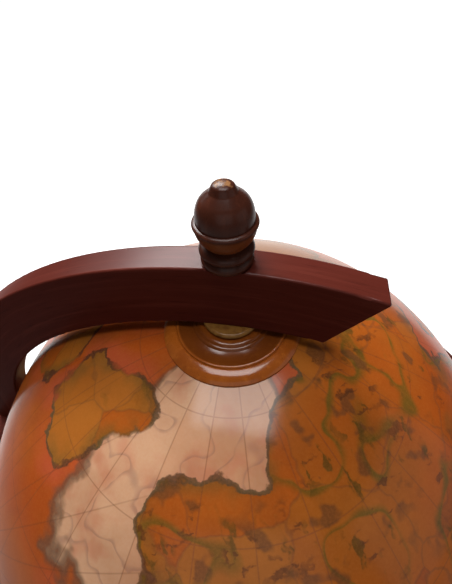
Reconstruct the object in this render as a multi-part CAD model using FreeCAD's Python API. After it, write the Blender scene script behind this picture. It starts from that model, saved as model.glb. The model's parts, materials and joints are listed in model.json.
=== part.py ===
import FreeCAD, Part
import math
import os
from FreeCAD import Rotation, Vector

# Globe bar table: a floor globe whose upper half hinges back over a round table.
# Millimetres, +Z up, origin on the floor below the middle of the globe. The meridian
# arm lies in the XZ plane, with its hinge at the back (-X) and its tip past the pole.

# Fits
SLIP = 0.1              # radial play of a fastener in its hole
RUNNING = 0.06          # radial play of a turning pin in its bore
SEAT = 0.2              # gap between faces that rest on or slide past each other

# Globe
GLOBE_RADIUS = 200.0
SHELL_WALL = 6.0
LID_GAP = 1.0           # between the two halves when the lid is shut
HOOP_WIDTH = 16.0       # stiffening hoop inside each half, measured radially
HOOP_DEPTH = 44.0
RIM_SCREW_COUNT = 8
RIM_SCREW_RADIUS = 2.2
RIM_SCREW_BITE = 22.0   # length inside the table ring
RIM_DOT_COUNT = 4
RIM_DOT_RADIUS = 5.0

# Table ring around the globe, just below the equator
TABLE_HEIGHT = 629.0
TABLE_MARGIN = 16.0     # table beyond the hinge leaf
TABLE_THICKNESS = 20.0
EQUATOR_RISE = 24.0     # the split of the globe above the table top
BAND_INSET = 7.0        # printed band, from the bore of the table
BAND_WIDTH = 30.0
BAND_THICKNESS = 0.6

# Meridian arm
ARM_GAP = 7.5           # between the globe and the inner edge of the arm
ARM_DEPTH = 39.5        # radial size of the board
ARM_WIDTH = 17.0
ARM_ROUND = 1.2
ARM_FLAT = 0.3          # shallowest depth of the flats cut in the arm for its fittings
TIP_ANGLE = 17.5        # outer corner of the tip past the pole, degrees
TIP_UNDERCUT = 3.8      # inner corner lies this much nearer the pole, degrees
BLOCK_HEIGHT = 32.0
BLOCK_WIDTH = 62.0
BLOCK_LIFT = 0.5        # under the block when the lid is shut
BLOCK_ROUND = 3.0
ARM_SCREW_RADIUS = 2.25
ARM_SCREW_SPREAD = 14.0
ARM_SCREW_BITE = 30.0   # length inside the arm

# Pole fittings
BOLT_RADIUS = 4.0
BOLT_HEAD_RADIUS = 7.5
BOLT_HEAD_HEIGHT = 5.0
WASHER_RADIUS = 13.0
WASHER_THICKNESS = 1.6
BOSS_RADIUS = 37.7
BUSH_RADIUS = 15.4
HUB_RADIUS = 28.0
HUB_HEIGHT = 18.0
FINIAL_RADIUS = 14.3
FINIAL_HEIGHT = 39.8
DROP_RADIUS = 22.0
DROP_HEIGHT = 52.0

# Bar inside the lower half
RACK_DROP = 0.27 * GLOBE_RADIUS     # top of the glass rack below the equator
RACK_TOP_THICKNESS = 12.0
RACK_BASE_THICKNESS = 8.0
GLASS_COUNT = 6
GLASS_RADIUS = 0.18 * GLOBE_RADIUS
BOTTLE_WELL_RADIUS = 0.45 * GLOBE_RADIUS
WELL_CHAMFER = 1.2
RACK_SCREW_RADIUS = 1.75
FLOOR_DROP = 0.7 * GLOBE_RADIUS     # top of the bottle floor below the equator
FLOOR_THICKNESS = 10.0
MAT_THICKNESS = 2.0

# Hinge
KNUCKLE_RADIUS = 4.0
KNUCKLE_COUNT = 5
HINGE_WIDTH = BLOCK_WIDTH - 2 * BLOCK_ROUND
HINGE_PIN_RADIUS = 1.8
LEAF_THICKNESS = 1.5
LEAF_LENGTH = 13.0
LEAF_SCREW_COUNT = 3
LEAF_SCREW_RADIUS = 1.5
LEAF_SCREW_LENGTH = 13.0
BUTTON_RADIUS = 3.4

# Stand
LEG_COUNT = 4
LEG_INSET = 44.0        # middle of a leg inside the rim of the table
LEG_RADIUS = 24.0
STUD_RADIUS = 4.0
STUD_IN_LEG = 32.0
STUD_IN_TABLE = 12.0
STUD_IN_FOOT = 22.0
SHELF_INSET = 4.0       # rim of the shelf inside the rim of the table
SHELF_THICKNESS = 20.0
TRAY_DEPTH = 3.0
FOOT_HEIGHT = 75.0

# Casters
WHEEL_RADIUS = 20.0
WHEEL_WIDTH = 16.0
WHEEL_SIDE_GAP = 0.6
WHEEL_TOP_GAP = 9.1
CASTER_TRAIL = 16.0
FORK_THICKNESS = 2.6
CROWN_THICKNESS = 3.2
AXLE_RADIUS = 2.5
AXLE_HEAD = 1.8
STEM_RADIUS = 5.0
STEM_LENGTH = 34.0
SOCKET_WALL = 2.0
SOCKET_FLANGE = 1.5

# Sizes that follow from the driving ones
UP = Vector(0, 0, 1)
GLOBE_Z = TABLE_HEIGHT + EQUATOR_RISE
INNER_RADIUS = GLOBE_RADIUS - SHELL_WALL
ARM_INNER = GLOBE_RADIUS + ARM_GAP
ARM_OUTER = ARM_INNER + ARM_DEPTH
BOSS_HEIGHT = 0.58 * ARM_GAP
BOLT_BORE = BOLT_RADIUS + RUNNING
HINGE_CLEAR = KNUCKLE_RADIUS + SEAT
FINIAL_FLAT_RADIUS = 0.86 * FINIAL_RADIUS
BUSH_FLAT_RADIUS = 1.05 * BUSH_RADIUS
BLOCK_INNER = GLOBE_RADIUS + 0.6 * ARM_GAP
BLOCK_OUTER = ARM_OUTER + 1.5 * ARM_ROUND
BLOCK_BOTTOM = TABLE_HEIGHT + BLOCK_LIFT
BLOCK_TOP = BLOCK_BOTTOM + BLOCK_HEIGHT
HINGE_X = -(BLOCK_OUTER + HINGE_CLEAR)
HINGE_Z = TABLE_HEIGHT + HINGE_CLEAR
KNUCKLE_PITCH = HINGE_WIDTH / KNUCKLE_COUNT
TABLE_BORE = math.sqrt(GLOBE_RADIUS ** 2 - EQUATOR_RISE ** 2) + SEAT
TABLE_RADIUS = LEAF_LENGTH + TABLE_MARGIN - HINGE_X
TABLE_BOTTOM = TABLE_HEIGHT - TABLE_THICKNESS
LEG_CIRCLE = TABLE_RADIUS - LEG_INSET
SHELF_RADIUS = TABLE_RADIUS - SHELF_INSET
CROWN_BOTTOM = 2 * WHEEL_RADIUS + WHEEL_TOP_GAP
CROWN_TOP = CROWN_BOTTOM + CROWN_THICKNESS
CASTER_HEIGHT = CROWN_TOP + SEAT + SOCKET_FLANGE
SHELF_BOTTOM = CASTER_HEIGHT + FOOT_HEIGHT
SHELF_TOP = SHELF_BOTTOM + SHELF_THICKNESS
LEG_LENGTH = TABLE_BOTTOM - SHELF_TOP
TRAY_RADIUS = LEG_CIRCLE - 1.4 * LEG_RADIUS
RACK_Z = GLOBE_Z - RACK_DROP
RACK_SPLIT = RACK_Z - RACK_TOP_THICKNESS
FLOOR_Z = GLOBE_Z - FLOOR_DROP
FORK_INNER = WHEEL_WIDTH / 2 + WHEEL_SIDE_GAP
FORK_OUTER = FORK_INNER + FORK_THICKNESS


def path_edges(start, moves):
    """Edges in the XZ plane. A move is a point for a straight line, or a pair of points,
    one on the way and one at the end, for an arc."""
    edges = []
    here = Vector(start[0], 0, start[1])
    for move in moves:
        if isinstance(move[0], tuple):
            via, end = (Vector(r, 0, z) for r, z in move)
            edges.append(Part.Arc(here, via, end).toShape())
        else:
            end = Vector(move[0], 0, move[1])
            if end.distanceToPoint(here) < 1e-6:
                continue
            edges.append(Part.LineSegment(here, end).toShape())
        here = end
    return edges


def outline(start, moves):
    """Closed wire in the XZ plane that returns to its start."""
    return Part.Wire(path_edges(start, list(moves) + [start]))


def spin(wire):
    """Solid that a closed wire in the XZ plane sweeps around the Z axis."""
    solid = Part.Face(wire).revolve(Vector(0, 0, 0), UP, 360)
    if solid.Volume < 0:
        solid.reverse()
    return solid


def turned(start, *moves):
    return spin(outline(start, moves))


def rod(radius, length, base, direction=UP):
    return Part.makeCylinder(radius, length, base, direction)


def moved(shape, x=0.0, y=0.0, z=0.0):
    copy = shape.copy()
    copy.translate(Vector(x, y, z))
    return copy


def rotated(shape, degrees, axis=UP, centre=Vector(0, 0, 0)):
    copy = shape.copy()
    copy.rotate(centre, axis, degrees)
    return copy


def around(shape, count, first_angle):
    """Copies of a shape spread evenly around the Z axis."""
    return [rotated(shape, first_angle + 360.0 * i / count) for i in range(count)]


def export(node, *solids):
    """Writes one node; several solids stay separate inside it."""
    shape = solids[0] if len(solids) == 1 else Part.makeCompound(list(solids))
    shape.exportStep(os.path.join("parts", node + ".step"))


def sphere_height(radius, r):
    """Height of a sphere above its own centre at the distance r from the axis."""
    return math.sqrt(radius ** 2 - r ** 2)


def sphere_arc(radius, r_end, z_from, z_to):
    """Move along a sphere about the origin, in the XZ plane, ending at (r_end, z_to)."""
    middle = (math.asin(z_from / radius) + math.asin(z_to / radius)) / 2
    return ((radius * math.cos(middle), radius * math.sin(middle)), (r_end, z_to))


def dome_point(r, z, top):
    """Point midway along the sphere, centred on the Z axis, from (r, z) to (0, top)."""
    centre = (top ** 2 - r ** 2 - z ** 2) / (2 * (top - z))
    radius = top - centre
    half = math.atan2(r, (z - centre) * math.copysign(1, radius)) / 2
    return (abs(radius) * math.sin(half), centre + radius * math.cos(half))


def domed_pin(radius, half, head_radius, head_height):
    """Pin along Z with a domed head at each end, outside the length from -half to half."""
    end = half + head_height
    return turned(
        (radius, -half), (radius, half), (head_radius, half),
        (dome_point(head_radius, half, end), (0, end)), (0, -end),
        (dome_point(head_radius, -half, -end), (head_radius, -half)),
    )


def wood_screw(radius, head_radius, length):
    """Countersunk screw pointing down, with the flat of its head at z = 0."""
    head = head_radius - radius
    tip = 2 * radius
    return turned((0, 0), (head_radius, 0), (radius, -head), (radius, tip - length), (0, -length))


def screw_hole(radius, head_radius, length):
    """Space that a countersunk screw takes up in the pieces it joins."""
    head = head_radius - radius
    play = SLIP
    return turned((0, play), (head_radius + play, play), (head_radius + play, 0),
                  (radius + play, -head), (radius + play, -length - play), (0, -length - play))


def moulded_edge(radius, bottom, thickness):
    """Moves up the rim of a round board: a cove, a bull nose, a step and a quarter round."""
    t = thickness
    cove = 0.3 * t
    nose = radius - 0.1 * t
    top = bottom + t
    return [
        (radius - 0.5 * t, bottom),
        ((radius - 0.2 * t - 0.707 * cove, bottom + 0.707 * cove), (radius - 0.2 * t, bottom + cove)),
        (nose, bottom + cove),
        ((radius, bottom + 0.57 * t), (nose, bottom + 0.84 * t)),
        (radius - 0.25 * t, bottom + 0.84 * t),
        ((radius - 0.297 * t, bottom + 0.953 * t), (radius - 0.41 * t, top)),
    ]


# Globe halves and the pieces that stiffen them

def half_shell(edge):
    """Upper half of the globe about the origin, cut flat at the height edge."""
    hole = BOLT_RADIUS + SLIP
    outer_top = sphere_height(GLOBE_RADIUS, hole)
    inner_top = sphere_height(INNER_RADIUS, hole)
    inner_edge = sphere_height(INNER_RADIUS, edge)
    return turned(
        (sphere_height(GLOBE_RADIUS, edge), edge),
        sphere_arc(GLOBE_RADIUS, hole, edge, outer_top),
        (hole, inner_top),
        sphere_arc(INNER_RADIUS, inner_edge, inner_top, edge),
    )


def half_hoop(edge):
    """Wooden hoop glued inside the rim of a half shell, about the origin."""
    seat = INNER_RADIUS - SEAT
    bore = seat - HOOP_WIDTH
    top = edge + HOOP_DEPTH
    ease = 0.12 * HOOP_WIDTH
    return turned(
        (bore, edge), (sphere_height(seat, edge), edge),
        sphere_arc(seat, sphere_height(seat, top), edge, top),
        (bore + ease, top),
        (bore, top - ease),
    )


def upper_half(shape):
    return moved(shape, z=GLOBE_Z)


def lower_half(shape):
    return moved(rotated(shape, 180, Vector(1, 0, 0)), z=GLOBE_Z)


def rim_screws(maker):
    """Screws, or their holes, from inside the hoop through the shell into the table."""
    head_face = INNER_RADIUS - SEAT - HOOP_WIDTH
    length = TABLE_BORE + RIM_SCREW_BITE - head_face
    screw = maker(RIM_SCREW_RADIUS, 2 * RIM_SCREW_RADIUS, length)
    screw = rotated(screw, -90, Vector(0, 1, 0))
    screw = moved(screw, head_face, 0, TABLE_HEIGHT - TABLE_THICKNESS / 2)
    return around(screw, RIM_SCREW_COUNT, 180.0 / RIM_SCREW_COUNT)


def rim_dots():
    """Felt dots on the lower hoop that meet the lid."""
    radius = INNER_RADIUS - SEAT - HOOP_WIDTH / 2
    dot = rod(RIM_DOT_RADIUS, LID_GAP - SEAT, Vector(radius, 0, GLOBE_Z))
    return around(dot, RIM_DOT_COUNT, 45)


# Pole fittings, made about the globe's centre

def boss():
    """Turned disc on the pole: a round flange, a groove, a dished step and two rings in the middle."""
    seat = GLOBE_RADIUS + SEAT / 2

    def on(r, rise):
        return (r * BOSS_RADIUS, GLOBE_RADIUS + rise * BOSS_HEIGHT)

    rim = sphere_height(seat, BOSS_RADIUS)
    hub = sphere_height(seat, BOLT_BORE)
    return turned(
        (BOLT_BORE, boss_top()), on(0.45, 1.0),
        (on(0.478, 0.94), on(0.5, 0.78)),
        (on(0.535, 0.74), on(0.56, 0.5)),
        (on(0.67, 0.38), on(0.775, 0.47)),
        (on(0.79, 0.44), on(0.797, 0.3)),
        on(0.803, 0.18), on(0.82, 0.25),
        (on(0.9, 0.08), on(1.0, -0.55)),
        (BOSS_RADIUS, rim),
        sphere_arc(seat, BOLT_BORE, rim, hub),
    )


def boss_top():
    return GLOBE_RADIUS + BOSS_HEIGHT


def bush():
    """Pale rounded collar between the boss and the arm."""
    low = boss_top() + SEAT
    high = bush_flat()
    middle = (low + high) / 2
    neck = BUSH_RADIUS - (high - low) / 2
    hole = BOLT_RADIUS + SLIP
    return turned((hole, low), (neck, low), ((BUSH_RADIUS, middle), (neck, high)), (hole, high))


def hub():
    """Block inside the lid that runs on the pole bolt."""
    seat = INNER_RADIUS - SEAT / 2
    bottom = INNER_RADIUS - HUB_HEIGHT
    shoulder = sphere_height(seat, HUB_RADIUS)
    top = sphere_height(seat, BOLT_BORE)
    ease = 0.2 * HUB_HEIGHT
    return turned(
        (BOLT_BORE, bottom), (HUB_RADIUS - ease, bottom),
        ((HUB_RADIUS - 0.3 * ease, bottom + 0.3 * ease), (HUB_RADIUS, bottom + ease)),
        (HUB_RADIUS, shoulder),
        sphere_arc(seat, BOLT_BORE, shoulder, top),
    )


def washer(bottom):
    hole = BOLT_RADIUS + SLIP
    top = bottom + WASHER_THICKNESS
    return turned((hole, bottom), (WASHER_RADIUS, bottom), (WASHER_RADIUS, top), (hole, top))


def bolt(length):
    """Round-headed bolt pointing up, with the seat of its head at z = 0."""
    head = BOLT_HEAD_RADIUS
    bottom = -BOLT_HEAD_HEIGHT
    tip = 0.25 * BOLT_RADIUS
    return turned(
        (0, length), (BOLT_RADIUS - tip, length), (BOLT_RADIUS, length - tip),
        (BOLT_RADIUS, 0), (head, 0), (dome_point(head, 0, bottom), (0, bottom)),
    )


def finial_flat():
    """Height, above the globe's centre, of the flat on the arm where the finial stands."""
    return sphere_height(ARM_OUTER, FINIAL_FLAT_RADIUS) - ARM_FLAT


def bush_flat():
    """Height, above the globe's centre, of the flat under the arm where the bush sits."""
    return ARM_INNER + ARM_FLAT


def finial():
    """Turned acorn standing at z = 0: two rings, a cup with a bead, a dome and a nub."""
    def on(r, z):
        return (r * FINIAL_RADIUS, z * FINIAL_HEIGHT)

    depth = 0.45 * FINIAL_HEIGHT
    solid = turned(
        (0, 0), on(0.72, 0),
        (on(0.8, 0.058), on(0.73, 0.108)),
        on(0.7, 0.112), on(0.73, 0.117),
        (on(0.83, 0.176), on(0.75, 0.234)),
        on(0.66, 0.25), on(0.66, 0.264),
        (on(0.9, 0.383), on(0.95, 0.504)),
        (on(1.0, 0.541), on(0.95, 0.575)),
        on(0.865, 0.58),
        (on(0.67, 0.832), on(0.445, 0.895)),
        (on(0.375, 0.917), on(0.35, 0.945)),
        (on(0.33, 0.972), on(0.27, 0.986)),
        (dome_point(*on(0.27, 0.986), FINIAL_HEIGHT), on(0, 1.0)),
    )
    return solid.cut(rod(BOLT_RADIUS + SLIP, depth + SLIP, Vector(0, 0, 0)))


def drop():
    """Turned pendant hanging from z = 0 under the lower half."""
    def on(r, z):
        return (r * DROP_RADIUS, -z * DROP_HEIGHT)

    solid = turned(
        (0, 0), on(0.78, 0),
        (on(0.92, 0.05), on(0.78, 0.1)),
        on(0.6, 0.12),
        (on(0.52, 0.19), on(0.66, 0.25)),
        (on(1.0, 0.4), on(0.72, 0.6)),
        on(0.44, 0.7),
        (on(0.5, 0.74), on(0.4, 0.79)),
        (dome_point(*on(0.4, 0.79), -DROP_HEIGHT), on(0, 1.0)),
    )
    return solid.cut(rod(BOLT_RADIUS + SLIP, 0.5 * DROP_HEIGHT, Vector(0, 0, 0), -UP))


# Meridian arm and its foot

def arm_board():
    """Arc board in the XZ plane about the globe's centre, with an undercut tip."""
    def at(radius, degrees):
        angle = math.radians(degrees)
        return (radius * math.sin(angle), radius * math.cos(angle))

    low = BLOCK_TOP - GLOBE_Z
    outer_end = -math.degrees(math.acos(low / ARM_OUTER))
    inner_end = -math.degrees(math.acos(low / ARM_INNER))
    inner_tip = TIP_ANGLE - TIP_UNDERCUT
    wire = outline(
        at(ARM_OUTER, outer_end),
        [(at(ARM_OUTER, -35), at(ARM_OUTER, TIP_ANGLE)), at(ARM_INNER, inner_tip),
         (at(ARM_INNER, -35), at(ARM_INNER, inner_end))],
    )
    face = Part.Face(wire)
    face.translate(Vector(0, -ARM_WIDTH / 2, 0))
    board = face.extrude(Vector(0, ARM_WIDTH, 0))
    kept = [e for e in board.Edges if e.BoundBox.ZMax > low + 1e-3]
    return board.makeFillet(ARM_ROUND, kept)


def meridian_arm():
    """Arm with the flats, bolt hole and screw holes that its fittings need."""
    arm = arm_board()
    arm = arm.cut(rod(FINIAL_FLAT_RADIUS, ARM_DEPTH, Vector(0, 0, finial_flat())))
    arm = arm.cut(rod(BUSH_FLAT_RADIUS, ARM_GAP, Vector(0, 0, bush_flat() - ARM_GAP)))
    arm = arm.cut(rod(BOLT_RADIUS + SLIP, 2 * ARM_DEPTH, Vector(0, 0, ARM_INNER - ARM_DEPTH / 2)))
    arm = moved(arm, z=GLOBE_Z)
    return arm.cut(Part.makeCompound(arm_screws(screw_hole)))


def arm_screws(maker):
    """Two screws, or their holes, up through the foot block into the arm."""
    length = BLOCK_HEIGHT + ARM_SCREW_BITE
    screw = rotated(maker(ARM_SCREW_RADIUS, 2 * ARM_SCREW_RADIUS, length), 180, Vector(1, 0, 0))
    reach = BLOCK_TOP + ARM_SCREW_BITE - GLOBE_Z
    middle = (sphere_height(ARM_INNER, reach) + sphere_height(ARM_OUTER, reach)) / 2
    offsets = (-ARM_SCREW_SPREAD / 2, ARM_SCREW_SPREAD / 2)
    return [moved(screw, -middle + offset, 0, BLOCK_BOTTOM) for offset in offsets]


def foot_block():
    """Block under the arm that carries the moving hinge leaf."""
    depth = BLOCK_OUTER - BLOCK_INNER
    corner = Vector(-BLOCK_OUTER, -BLOCK_WIDTH / 2, BLOCK_BOTTOM)
    block = Part.makeBox(depth, BLOCK_WIDTH, BLOCK_HEIGHT, corner)
    kept = [e for e in block.Edges if e.BoundBox.ZMin > BLOCK_TOP - 1e-3]
    kept += [e for e in block.Edges if e.BoundBox.ZLength > BLOCK_HEIGHT / 2]
    block = block.makeFillet(BLOCK_ROUND, kept)
    holes = arm_screws(screw_hole) + arm_leaf_screws(screw_hole)
    return block.cut(Part.makeCompound(holes))


# Hinge, with its axis along Y at HINGE_X, HINGE_Z

def knuckles(radius, parity):
    """Every second knuckle of the hinge, beginning at the first or the second."""
    rods = []
    for index in range(parity, KNUCKLE_COUNT, 2):
        start = -HINGE_WIDTH / 2 + index * KNUCKLE_PITCH
        base = Vector(HINGE_X, start + SEAT / 2, HINGE_Z)
        rods.append(rod(radius, KNUCKLE_PITCH - SEAT, base, Vector(0, 1, 0)))
    return rods


def knuckle_gaps(parity):
    """Room in a leaf for the knuckles of the other leaf."""
    gaps = []
    for index in range(parity, KNUCKLE_COUNT, 2):
        start = -HINGE_WIDTH / 2 + index * KNUCKLE_PITCH
        base = Vector(HINGE_X, start - SEAT / 2, HINGE_Z)
        gaps.append(rod(HINGE_CLEAR, KNUCKLE_PITCH + SEAT, base, Vector(0, 1, 0)))
    return gaps


def hinge_leaf(plate, parity, holes):
    """Leaf made from its plate and its own knuckles."""
    leaf = plate.multiFuse(knuckles(KNUCKLE_RADIUS, parity))
    leaf = leaf.cut(Part.makeCompound(knuckle_gaps(1 - parity) + holes))
    bore = rod(HINGE_PIN_RADIUS + RUNNING, 2 * HINGE_WIDTH,
               Vector(HINGE_X, -HINGE_WIDTH, HINGE_Z), Vector(0, 1, 0))
    return leaf.cut(bore).removeSplitter()


def table_leaf():
    corner = Vector(HINGE_X - LEAF_LENGTH, -HINGE_WIDTH / 2, TABLE_HEIGHT)
    plate = Part.makeBox(LEAF_LENGTH, HINGE_WIDTH, LEAF_THICKNESS, corner)
    return hinge_leaf(plate, 0, table_leaf_screws(screw_hole))


def arm_leaf():
    corner = Vector(-BLOCK_OUTER - LEAF_THICKNESS, -HINGE_WIDTH / 2, HINGE_Z)
    plate = Part.makeBox(LEAF_THICKNESS, HINGE_WIDTH, LEAF_LENGTH, corner)
    return hinge_leaf(plate, 1, arm_leaf_screws(screw_hole))


def leaf_screw_places():
    pitch = HINGE_WIDTH / LEAF_SCREW_COUNT
    return [pitch * (i - (LEAF_SCREW_COUNT - 1) / 2) for i in range(LEAF_SCREW_COUNT)]


def table_leaf_screws(maker):
    screw = maker(LEAF_SCREW_RADIUS, LEAF_SCREW_RADIUS + LEAF_THICKNESS, LEAF_SCREW_LENGTH)
    x = HINGE_X - 0.62 * LEAF_LENGTH
    return [moved(screw, x, y, TABLE_HEIGHT + LEAF_THICKNESS) for y in leaf_screw_places()]


def arm_leaf_screws(maker):
    screw = maker(LEAF_SCREW_RADIUS, LEAF_SCREW_RADIUS + LEAF_THICKNESS, LEAF_SCREW_LENGTH)
    screw = rotated(screw, -90, Vector(0, 1, 0))
    x = -BLOCK_OUTER - LEAF_THICKNESS
    z = HINGE_Z + 0.62 * LEAF_LENGTH
    return [moved(screw, x, y, z) for y in leaf_screw_places()]


def hinge_pin():
    """Pin with a rounded head at each end."""
    head = 1.7 * HINGE_PIN_RADIUS
    pin = domed_pin(HINGE_PIN_RADIUS, HINGE_WIDTH / 2 + SEAT, head, 0.8 * head)
    return moved(rotated(pin, 90, Vector(1, 0, 0)), HINGE_X, 0, HINGE_Z)


def stop_buttons():
    """Two rubber buttons on the block that land on the table when the lid is open."""
    z = HINGE_Z + LEAF_LENGTH + 1.2 * BUTTON_RADIUS
    y = BLOCK_WIDTH / 2 - BLOCK_ROUND - BUTTON_RADIUS
    length = 2 * HINGE_CLEAR - SEAT
    ends = (Vector(-BLOCK_OUTER, side * y, z) for side in (-1, 1))
    return [rod(BUTTON_RADIUS, length, end, Vector(-1, 0, 0)) for end in ends]


# Table, legs, shelf and feet

def leg_angle():
    return 180.0 / LEG_COUNT


def on_leg_circle(shape):
    """Copies of a shape made at the origin, one under each leg."""
    return around(moved(shape, LEG_CIRCLE), LEG_COUNT, leg_angle())


def table_ring():
    band_in = TABLE_BORE + BAND_INSET
    band_out = band_in + BAND_WIDTH
    recess = TABLE_HEIGHT - BAND_THICKNESS
    ring = turned(
        (TABLE_BORE, TABLE_BOTTOM), *moulded_edge(TABLE_RADIUS, TABLE_BOTTOM, TABLE_THICKNESS),
        (band_out, TABLE_HEIGHT), (band_out, recess), (band_in, recess), (band_in, TABLE_HEIGHT),
        (TABLE_BORE, TABLE_HEIGHT),
    )
    stud = rod(STUD_RADIUS + SLIP, STUD_IN_TABLE + SLIP, Vector(0, 0, TABLE_BOTTOM))
    holes = on_leg_circle(stud) + rim_screws(screw_hole) + table_leaf_screws(screw_hole)
    return ring.cut(Part.makeCompound(holes))


def horizon_band():
    """Printed band let into the table top."""
    inner = TABLE_BORE + BAND_INSET + SLIP
    outer = inner + BAND_WIDTH - 2 * SLIP
    low = TABLE_HEIGHT - BAND_THICKNESS
    return turned((inner, low), (outer, low), (outer, TABLE_HEIGHT), (inner, TABLE_HEIGHT))


def leg():
    """Turned leg standing at z = 0: base rings, a long vase and a plain top block."""
    k = LEG_RADIUS
    top = LEG_LENGTH
    low = 1.66 * k
    high = top - 4.9 * k
    vase = Part.BSplineCurve()
    steps = ((0.0, 0.6), (0.1, 0.82), (0.27, 1.0), (0.6, 0.74), (1.0, 0.54))
    vase.interpolate([Vector(r * k, 0, low + t * (high - low)) for t, r in steps])
    below = path_edges((0, 0), [
        (0.8 * k, 0), (0.8 * k, 0.2 * k),
        ((0.98 * k, 0.5 * k), (0.8 * k, 0.8 * k)), (0.6 * k, 0.84 * k),
        ((0.52 * k, 1.05 * k), (0.6 * k, 1.26 * k)), (0.7 * k, 1.3 * k),
        ((0.82 * k, 1.46 * k), (0.7 * k, 1.62 * k)), (0.6 * k, low),
    ])
    above = path_edges((0.54 * k, high), [
        (0.72 * k, high + 0.04 * k),
        ((0.86 * k, high + 0.25 * k), (0.72 * k, high + 0.46 * k)), (0.58 * k, high + 0.5 * k),
        ((0.52 * k, high + 0.75 * k), (0.64 * k, high + 1.05 * k)),
        ((0.88 * k, high + 1.5 * k), (0.95 * k, high + 2.2 * k)), (0.95 * k, top - 0.12 * k),
        (0.83 * k, top), (0, top), (0, 0),
    ])
    solid = spin(Part.Wire(below + [vase.toShape()] + above))
    solid = solid.cut(rod(STUD_RADIUS + SLIP, STUD_IN_LEG + SLIP, Vector(0, 0, 0)))
    return solid.cut(rod(STUD_RADIUS + SLIP, STUD_IN_LEG + SLIP, Vector(0, 0, top), -UP))


def stud(length):
    end = 0.2 * STUD_RADIUS
    return turned((0, 0), (STUD_RADIUS - end, 0), (STUD_RADIUS, end), (STUD_RADIUS, length - end),
                  (STUD_RADIUS - end, length), (0, length))


def lower_shelf():
    """Round shelf with a moulded edge, a shallow tray and a stud hole under each leg."""
    shelf = turned(
        (0, SHELF_BOTTOM), *moulded_edge(SHELF_RADIUS, SHELF_BOTTOM, SHELF_THICKNESS),
        (TRAY_RADIUS, SHELF_TOP), (TRAY_RADIUS - TRAY_DEPTH, SHELF_TOP - TRAY_DEPTH),
        (0, SHELF_TOP - TRAY_DEPTH),
    )
    hole = rod(STUD_RADIUS + SLIP, 2 * SHELF_THICKNESS, Vector(0, 0, SHELF_BOTTOM - 1))
    return shelf.cut(Part.makeCompound(on_leg_circle(hole)))


def foot():
    """Turned bun foot on z = 0, bored for the shelf stud and for the caster socket."""
    k = LEG_RADIUS
    h = FOOT_HEIGHT
    solid = turned(
        (0, 0), (0.7 * k, 0), (0.74 * k, 0.03 * h),
        ((1.12 * k, 0.36 * h), (0.76 * k, 0.66 * h)), (0.6 * k, 0.68 * h),
        ((0.54 * k, 0.74 * h), (0.64 * k, 0.8 * h)), (0.76 * k, 0.82 * h),
        ((0.92 * k, 0.9 * h), (0.78 * k, 0.98 * h)), (0.78 * k, h), (0, h),
    )
    solid = solid.cut(rod(STUD_RADIUS + SLIP, STUD_IN_FOOT + SLIP, Vector(0, 0, h), -UP))
    depth = STEM_LENGTH + SOCKET_WALL
    return solid.cut(rod(socket_radius() + SLIP, depth, Vector(0, 0, 0)))


# Bar inside the lower half

def bowl_plate(top, thickness):
    """Round board that rests with its edge on the inside of the lower shell."""
    bowl = Part.makeSphere(INNER_RADIUS - SEAT, Vector(0, 0, GLOBE_Z))
    return bowl.common(rod(GLOBE_RADIUS, thickness, Vector(0, 0, top - thickness)))


def glass_circle():
    edge = sphere_height(INNER_RADIUS - SEAT, GLOBE_Z - RACK_SPLIT)
    return (BOTTLE_WELL_RADIUS + edge) / 2


def eased_hole(radius, top, thickness):
    """Cutter for a round hole with a small chamfer at its upper edge."""
    c = WELL_CHAMFER
    return turned((0, top - thickness - 1), (radius, top - thickness - 1), (radius, top - c),
                  (radius + c, top), (radius + c, top + 1), (0, top + 1))


def rack_screws(maker):
    """Two screws, or their holes, up through the base into each board of the glass rack."""
    length = RACK_BASE_THICKNESS + 0.7 * RACK_TOP_THICKNESS
    screw = rotated(maker(RACK_SCREW_RADIUS, 2 * RACK_SCREW_RADIUS, length), 180, Vector(1, 0, 0))
    screw = moved(screw, glass_circle(), 0, RACK_SPLIT - RACK_BASE_THICKNESS)
    side = 0.4 * 360.0 / GLASS_COUNT
    return around(screw, GLASS_COUNT, -side) + around(screw, GLASS_COUNT, side)


def rack_boards():
    """Wedge-shaped boards around the bottle well, each with one glass well."""
    angle = 360.0 / GLASS_COUNT - math.degrees(SEAT / BOTTLE_WELL_RADIUS)
    wedge = Part.makeCylinder(GLOBE_RADIUS, RACK_TOP_THICKNESS, Vector(0, 0, RACK_SPLIT), UP, angle)
    board = bowl_plate(RACK_Z, RACK_TOP_THICKNESS).common(rotated(wedge, -angle / 2))
    glass_well = moved(eased_hole(GLASS_RADIUS, RACK_Z, RACK_TOP_THICKNESS), glass_circle())
    bottle_well = eased_hole(BOTTLE_WELL_RADIUS, RACK_Z, RACK_TOP_THICKNESS)
    holes = [glass_well, bottle_well] + rack_screws(screw_hole)
    return around(board.cut(Part.makeCompound(holes)), GLASS_COUNT, 0)


def rack_base():
    plate = bowl_plate(RACK_SPLIT, RACK_BASE_THICKNESS)
    below = Vector(0, 0, RACK_SPLIT - 1.5 * RACK_BASE_THICKNESS)
    well = rod(BOTTLE_WELL_RADIUS, 2 * RACK_BASE_THICKNESS, below)
    return plate.cut(Part.makeCompound([well] + rack_screws(screw_hole)))


def bottle_mat():
    edge = sphere_height(INNER_RADIUS - SEAT, FLOOR_DROP)
    return rod(0.9 * edge, MAT_THICKNESS, Vector(0, 0, FLOOR_Z))


# Casters, made on the floor with the swivel axis along Z and the wheel trailing towards +X

def socket_radius():
    return STEM_RADIUS + RUNNING + SOCKET_WALL


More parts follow.
